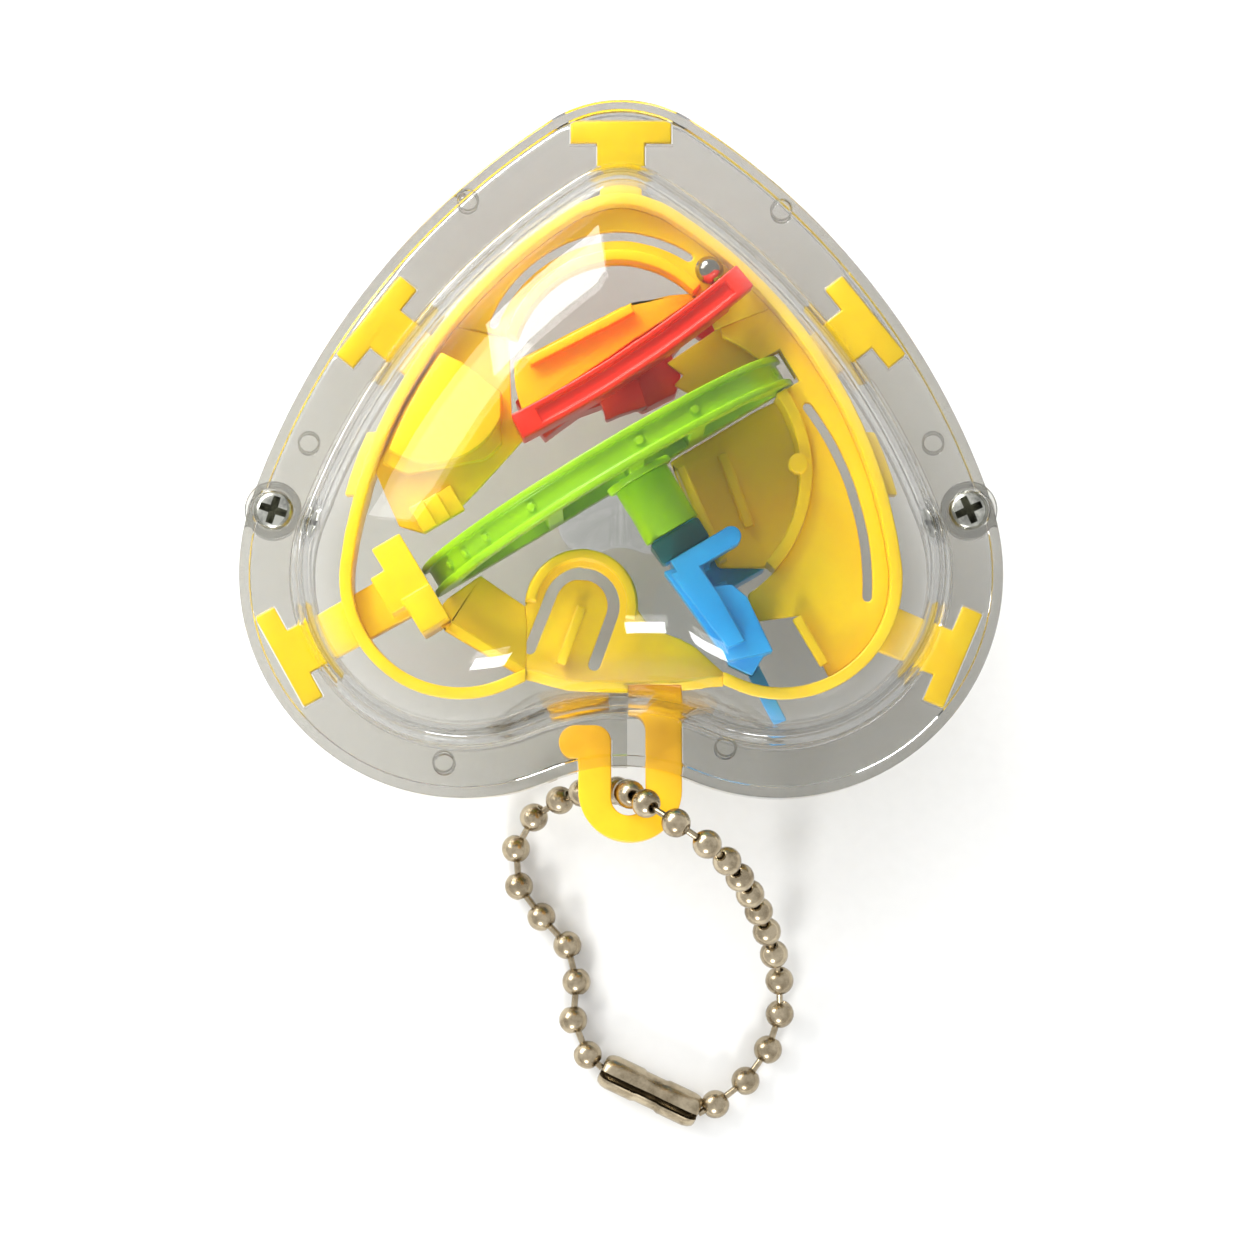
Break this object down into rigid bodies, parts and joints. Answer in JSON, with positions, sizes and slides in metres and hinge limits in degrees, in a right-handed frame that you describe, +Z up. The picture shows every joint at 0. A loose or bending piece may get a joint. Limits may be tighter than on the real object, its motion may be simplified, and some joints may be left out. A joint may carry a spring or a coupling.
{
  "type": "ball maze key ring",
  "caption": "Heart-shaped clear case with a coloured three-dimensional ball maze inside, a hanging hook and a ball-chain loop.",
  "frame": {"origin": "on the table under the middle of the heart with its hook, where the rear dome's flat rests; the chain is not counted", "axes": "+X across the heart, +Y from the tip towards the cleft and the hook, +Z up out of the front dome, the side with the screw heads"},
  "size_m": [0.0626, 0.0848, 0.035],
  "materials": {
    "clear_plastic": "clear polystyrene, polished",
    "yellow_plastic": "moulded, semi-gloss",
    "green_plastic": "moulded, semi-gloss",
    "red_plastic": "moulded, semi-gloss",
    "blue_plastic": "moulded, semi-gloss",
    "nickel": "nickel plated",
    "steel": "polished steel"
  },
  "bodies": {
    "puzzle": {"front_shell": "clear_plastic", "rear_shell": "clear_plastic", "case_screws": "nickel", "hook": "yellow_plastic", "tip_tab_arm": "yellow_plastic", "upper_tab_arm_left": "yellow_plastic", "upper_tab_arm_right": "yellow_plastic", "lower_tab_arm_left": "yellow_plastic", "lower_tab_arm_right": "yellow_plastic", "maze_rim": "yellow_plastic", "top_plate": "yellow_plastic", "lobe_bridge": "yellow_plastic", "left_band": "yellow_plastic", "pocket": "yellow_plastic", "corner_floor": "yellow_plastic", "bottom_track": "yellow_plastic", "lens_bar": "yellow_plastic", "right_plate": "yellow_plastic", "stair_steps": "yellow_plastic", "bracket": "yellow_plastic", "arc_track": "green_plastic", "stem_socket": "green_plastic", "curved_blade": "red_plastic", "tower": "blue_plastic", "tower_pin": "blue_plastic", "ball_chain": "nickel", "chain_connector": "nickel"},
    "ball": {"steel_ball": "steel"}
  },
  "joints": [
    {"name": "ball_roll", "type": "hinge", "parent": "puzzle", "child": "ball", "pos_m": [0.0002, -0.00835, 0.0197], "axis": [0, 0, 1], "range_deg": [0, 110]}
  ]
}
